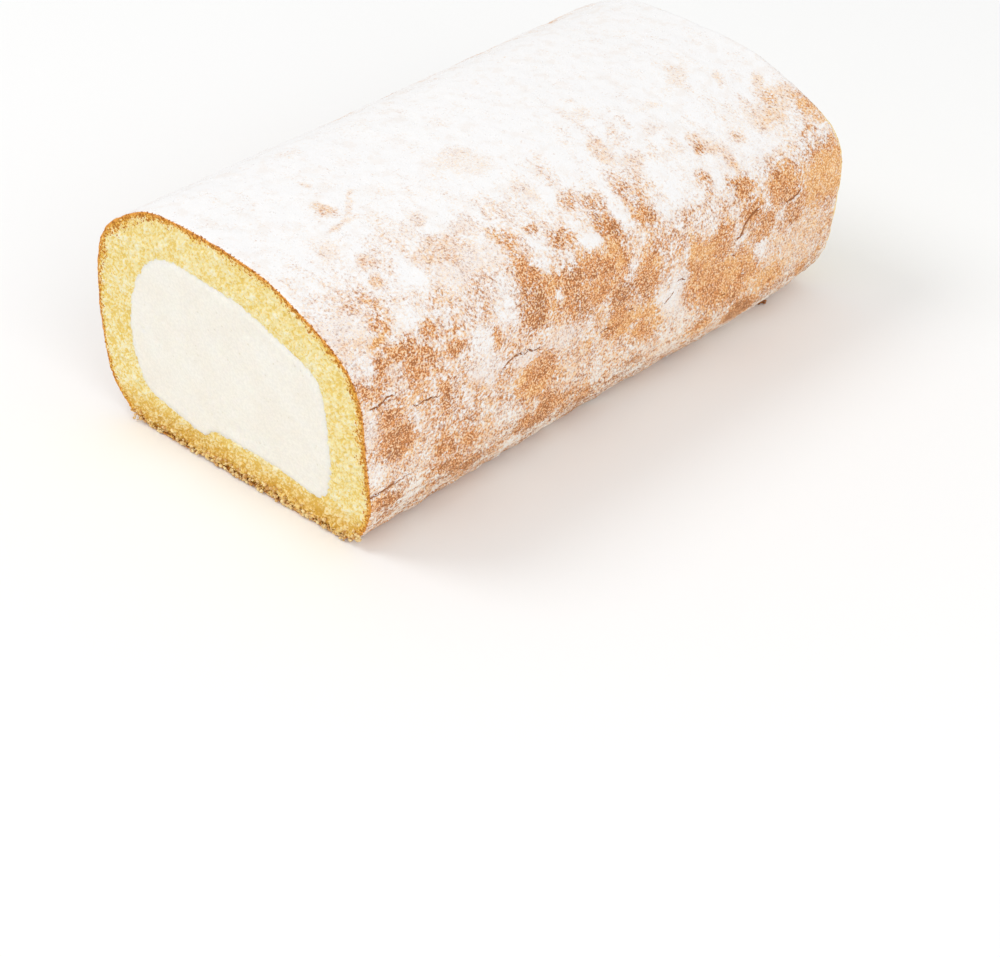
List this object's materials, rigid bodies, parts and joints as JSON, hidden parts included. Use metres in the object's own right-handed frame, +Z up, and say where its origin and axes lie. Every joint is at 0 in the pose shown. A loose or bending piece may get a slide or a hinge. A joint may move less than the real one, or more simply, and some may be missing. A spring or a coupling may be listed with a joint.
{
  "type": "swiss roll cake",
  "caption": "Whole swiss roll: a browned, sugar-dusted sheet of yellow sponge rolled once round whipped cream, cut clean at both ends and resting on its seam.",
  "frame": {"origin": "middle of the footprint box of the whole roll, on the surface it rests on", "axes": "+X along the roll, away from the cut end that is served first; +Z up; -Y is the long side that shows beside that cut"},
  "size_m": [0.183, 0.1136, 0.073],
  "materials": {
    "sponge": "open yellow crumb, matte",
    "cream": "smooth whipped cream, soft sheen",
    "crust": "thin browned skin of the sponge, fine grained",
    "sugar": "sifted powdered sugar, matt white"
  },
  "bodies": {
    "root": {"sponge": "sponge", "cream": "cream"}
  },
  "joints": []
}
